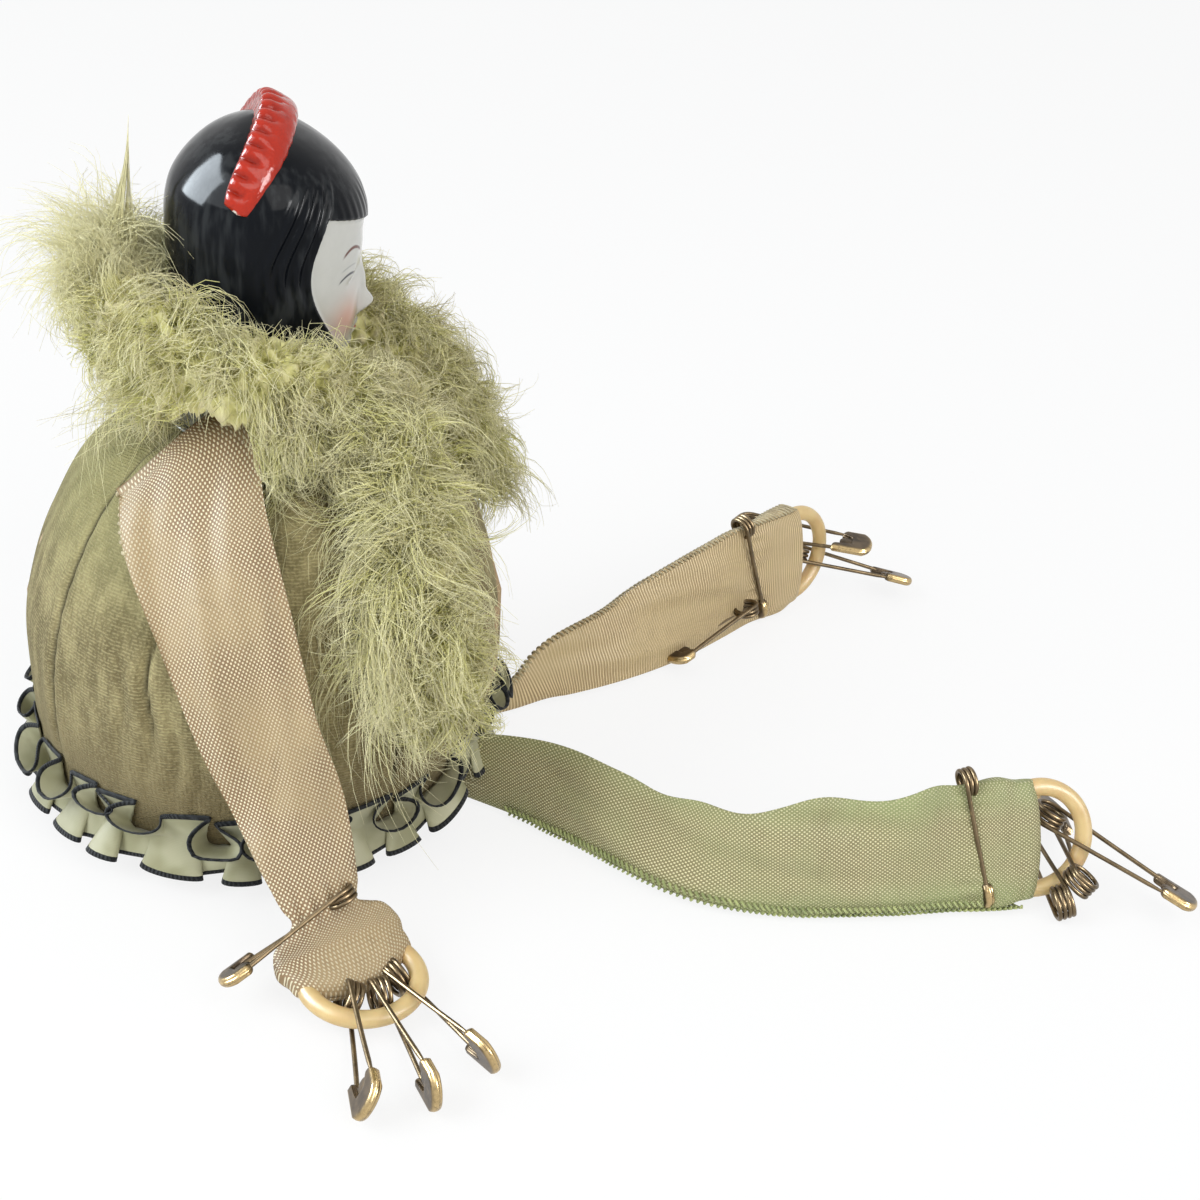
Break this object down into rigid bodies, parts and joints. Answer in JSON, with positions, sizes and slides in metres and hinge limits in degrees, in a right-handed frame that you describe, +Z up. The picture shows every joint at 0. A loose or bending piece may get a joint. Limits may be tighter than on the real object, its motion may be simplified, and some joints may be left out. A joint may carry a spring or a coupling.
{
  "type": "pincushion doll",
  "caption": "Pincushion doll: glazed porcelain half doll on a round velvet cushion, with a marabou boa, a ribbon ruffle, and swinging ribbon arms and legs ending in rings hung with safety pins.",
  "frame": {"origin": "centre of the flat round base, on the surface that the doll sits on", "axes": "+Z up along the doll's axis; the doll faces -Y; its right side is towards -X"},
  "size_m": [0.212, 0.223, 0.1364],
  "materials": {
    "porcelain": "gloss",
    "velvet": "matte",
    "lining": "matte",
    "card": "matte",
    "sawdust": "matte",
    "satin": "satin",
    "thread": "matte",
    "marabou": "matte",
    "peach_ribbon": "satin",
    "green_ribbon": "satin",
    "ivory": "satin",
    "brass": "satin"
  },
  "bodies": {
    "doll": {"base_cloth": "lining", "base_board": "card", "cushion_cover": "velvet", "cushion_stuffing": "sawdust", "ruffle_ribbon": "satin", "porcelain_half_doll": "porcelain", "waist_thread": "thread", "boa_core": "thread", "boa_down": "marabou"},
    "right_arm": {"right_arm_ribbon": "peach_ribbon", "right_arm_cuff_pin_1_wire": "brass", "right_arm_cuff_pin_1_cap": "brass"},
    "right_arm_ring": {"right_arm_ring": "ivory"},
    "right_arm_pin_1": {"right_arm_pin_1_spring": "brass", "right_arm_pin_1_cap": "brass"},
    "right_arm_pin_1_needle": {"right_arm_pin_1_needle": "brass"},
    "right_arm_pin_2": {"right_arm_pin_2_spring": "brass", "right_arm_pin_2_cap": "brass"},
    "right_arm_pin_2_needle": {"right_arm_pin_2_needle": "brass"},
    "right_arm_pin_3": {"right_arm_pin_3_spring": "brass", "right_arm_pin_3_cap": "brass"},
    "right_arm_pin_3_needle": {"right_arm_pin_3_needle": "brass"},
    "left_arm": {"left_arm_ribbon": "peach_ribbon", "left_arm_cuff_pin_1_wire": "brass", "left_arm_cuff_pin_1_cap": "brass"},
    "left_arm_ring": {"left_arm_ring": "ivory"},
    "left_arm_pin_1": {"left_arm_pin_1_spring": "brass", "left_arm_pin_1_cap": "brass"},
    "left_arm_pin_1_needle": {"left_arm_pin_1_needle": "brass"},
    "left_arm_pin_2": {"left_arm_pin_2_spring": "brass", "left_arm_pin_2_cap": "brass"},
    "left_arm_pin_2_needle": {"left_arm_pin_2_needle": "brass"},
    "right_leg": {"right_leg_ribbon": "green_ribbon", "right_leg_cuff_pin_1_wire": "brass", "right_leg_cuff_pin_1_cap": "brass"},
    "right_leg_ring": {"right_leg_ring": "ivory"},
    "right_leg_pin_1": {"right_leg_pin_1_spring": "brass", "right_leg_pin_1_cap": "brass"},
    "right_leg_pin_1_needle": {"right_leg_pin_1_needle": "brass"},
    "right_leg_pin_2": {"right_leg_pin_2_spring": "brass", "right_leg_pin_2_cap": "brass"},
    "right_leg_pin_2_needle": {"right_leg_pin_2_needle": "brass"},
    "right_leg_pin_3": {"right_leg_pin_3_spring": "brass", "right_leg_pin_3_cap": "brass"},
    "right_leg_pin_3_needle": {"right_leg_pin_3_needle": "brass"},
    "left_leg": {"left_leg_ribbon": "peach_ribbon", "left_leg_cuff_pin_1_wire": "brass", "left_leg_cuff_pin_1_cap": "brass", "left_leg_cuff_pin_2_wire": "brass", "left_leg_cuff_pin_2_cap": "brass"},
    "left_leg_ring": {"left_leg_ring": "ivory"},
    "left_leg_pin_1": {"left_leg_pin_1_spring": "brass", "left_leg_pin_1_cap": "brass"},
    "left_leg_pin_1_needle": {"left_leg_pin_1_needle": "brass"},
    "left_leg_pin_2": {"left_leg_pin_2_spring": "brass", "left_leg_pin_2_cap": "brass"},
    "left_leg_pin_2_needle": {"left_leg_pin_2_needle": "brass"}
  },
  "joints": [
    {"name": "right_arm_swing", "type": "hinge", "parent": "doll", "child": "right_arm", "pos_m": [-0.0205, 0.0144, 0.0776], "axis": [-0.2692, 0.8673, -0.4187], "range_deg": [0, 38]},
    {"name": "right_arm_ring_spin", "type": "hinge", "parent": "right_arm", "child": "right_arm_ring", "pos_m": [-0.0731, -0.01664, 0.00485], "axis": [-0.0667, -0.0386, 0.997], "range_deg": [-12, 8]},
    {"name": "right_arm_pin_1_swing", "type": "hinge", "parent": "right_arm_ring", "child": "right_arm_pin_1", "pos_m": [-0.08279, -0.01497, 0.00426], "axis": [0.1672, 0.9847, 0.0493], "range_deg": [0, 14]},
    {"name": "right_arm_pin_1_opening", "type": "hinge", "parent": "right_arm_pin_1", "child": "right_arm_pin_1_needle", "pos_m": [-0.07747, -0.01448, 0.00394], "axis": [-0.0538, 0.8918, 0.4493], "range_deg": [0, 30]},
    {"name": "right_arm_pin_2_swing", "type": "hinge", "parent": "right_arm_ring", "child": "right_arm_pin_2", "pos_m": [-0.08172, -0.02135, 0.00409], "axis": [-0.4798, 0.8774, 0.0019], "range_deg": [0, 14]},
    {"name": "right_arm_pin_2_opening", "type": "hinge", "parent": "right_arm_pin_2", "child": "right_arm_pin_2_needle", "pos_m": [-0.07661, -0.01979, 0.00377], "axis": [-0.2926, 0.9562, -0.0105], "range_deg": [0, 30]},
    {"name": "right_arm_pin_3_swing", "type": "hinge", "parent": "right_arm_ring", "child": "right_arm_pin_3", "pos_m": [-0.07692, -0.0257, 0.00424], "axis": [-0.9193, 0.3908, -0.0463], "range_deg": [0, 14]},
    {"name": "right_arm_pin_3_opening", "type": "hinge", "parent": "right_arm_pin_3", "child": "right_arm_pin_3_needle", "pos_m": [-0.07201, -0.02254, 0.00389], "axis": [-0.5257, 0.7802, -0.339], "range_deg": [0, 30]},
    {"name": "left_arm_swing", "type": "hinge", "parent": "doll", "child": "left_arm", "pos_m": [0.0205, 0.0144, 0.0776], "axis": [-0.2692, -0.8673, 0.4187], "range_deg": [0, 38]},
    {"name": "left_arm_ring_spin", "type": "hinge", "parent": "left_arm", "child": "left_arm_ring", "pos_m": [0.0731, -0.01664, 0.00485], "axis": [0.0667, -0.0386, 0.997], "range_deg": [-10, 12]},
    {"name": "left_arm_pin_1_swing", "type": "hinge", "parent": "left_arm_ring", "child": "left_arm_pin_1", "pos_m": [0.08275, -0.01849, 0.00413], "axis": [-0.19, -0.9815, -0.0253], "range_deg": [0, 14]},
    {"name": "left_arm_pin_1_opening", "type": "hinge", "parent": "left_arm_pin_1", "child": "left_arm_pin_1_needle", "pos_m": [0.07752, -0.01741, 0.00381], "axis": [-0.2003, -0.9794, -0.026], "range_deg": [0, 30]},
    {"name": "left_arm_pin_2_swing", "type": "hinge", "parent": "left_arm_ring", "child": "left_arm_pin_2", "pos_m": [0.07798, -0.02518, 0.00419], "axis": [-0.8663, -0.498, 0.0386], "range_deg": [0, 14]},
    {"name": "left_arm_pin_2_opening", "type": "hinge", "parent": "left_arm_pin_2", "child": "left_arm_pin_2_needle", "pos_m": [0.07314, -0.02292, 0.00381], "axis": [-0.4012, -0.8934, -0.2019], "range_deg": [0, 30]},
    {"name": "right_leg_swing", "type": "hinge", "parent": "doll", "child": "right_leg", "pos_m": [-0.0137, -0.0372, 0.0043], "axis": [0, 0, -1], "range_deg": [-12, 20]},
    {"name": "right_leg_ring_spin", "type": "hinge", "parent": "right_leg", "child": "right_leg_ring", "pos_m": [-0.04687, -0.14299, 0.0126], "axis": [-0.9217, -0.1483, 0.3586], "range_deg": [-5, 12]},
    {"name": "right_leg_pin_1_swing", "type": "hinge", "parent": "right_leg_ring", "child": "right_leg_pin_1", "pos_m": [-0.04566, -0.15272, 0.01168], "axis": [-0.3681, 0.0419, -0.9288], "range_deg": [-6, 6]},
    {"name": "right_leg_pin_1_opening", "type": "hinge", "parent": "right_leg_pin_1", "child": "right_leg_pin_1_needle", "pos_m": [-0.04147, -0.1468, 0.01378], "axis": [-0.1433, 0.4193, -0.8965], "range_deg": [0, 30]},
    {"name": "right_leg_pin_2_swing", "type": "hinge", "parent": "right_leg_ring", "child": "right_leg_pin_2", "pos_m": [-0.04777, -0.15102, 0.00696], "axis": [0.3771, -0.5603, 0.7375], "range_deg": [-3, 3]},
    {"name": "right_leg_pin_2_opening", "type": "hinge", "parent": "right_leg_pin_2", "child": "right_leg_pin_2_needle", "pos_m": [-0.0531, -0.15059, 0.00728], "axis": [0.0035, -0.572, 0.8202], "range_deg": [0, 15]},
    {"name": "right_leg_pin_3_swing", "type": "hinge", "parent": "right_leg_ring", "child": "right_leg_pin_3", "pos_m": [-0.04961, -0.14686, 0.00396], "axis": [0.2708, -0.9076, 0.3208], "range_deg": [-3, 3]},
    {"name": "right_leg_pin_3_opening", "type": "hinge", "parent": "right_leg_pin_3", "child": "right_leg_pin_3_needle", "pos_m": [-0.05495, -0.14713, 0.00375], "axis": [0.0349, -0.9466, 0.3204], "range_deg": [0, 16]},
    {"name": "left_leg_swing", "type": "hinge", "parent": "doll", "child": "left_leg", "pos_m": [0.0116, -0.0381, 0.0043], "axis": [0, 0, 1], "range_deg": [-12, 20]},
    {"name": "left_leg_ring_spin", "type": "hinge", "parent": "left_leg", "child": "left_leg_ring", "pos_m": [0.06198, -0.11761, 0.01289], "axis": [-0.7847, -0.6114, 0.1019], "range_deg": [-5, 12]},
    {"name": "left_leg_pin_1_swing", "type": "hinge", "parent": "left_leg_ring", "child": "left_leg_pin_1", "pos_m": [0.06723, -0.12499, 0.009], "axis": [-0.3174, 0.2552, -0.9133], "range_deg": [-5, 8]},
    {"name": "left_leg_pin_1_opening", "type": "hinge", "parent": "left_leg_pin_1", "child": "left_leg_pin_1_needle", "pos_m": [0.06787, -0.11979, 0.01008], "axis": [-0.3208, 0.2292, -0.919], "range_deg": [0, 30]},
    {"name": "left_leg_pin_2_swing", "type": "hinge", "parent": "left_leg_ring", "child": "left_leg_pin_2", "pos_m": [0.06809, -0.12526, 0.01399], "axis": [0.0109, 0.1507, 0.9885], "range_deg": [-5, 8]},
    {"name": "left_leg_pin_2_opening", "type": "hinge", "parent": "left_leg_pin_2", "child": "left_leg_pin_2_needle", "pos_m": [0.07311, -0.10971, 0.01449], "axis": [-0.0441, -0.018, 0.9989], "range_deg": [0, 30]}
  ]
}
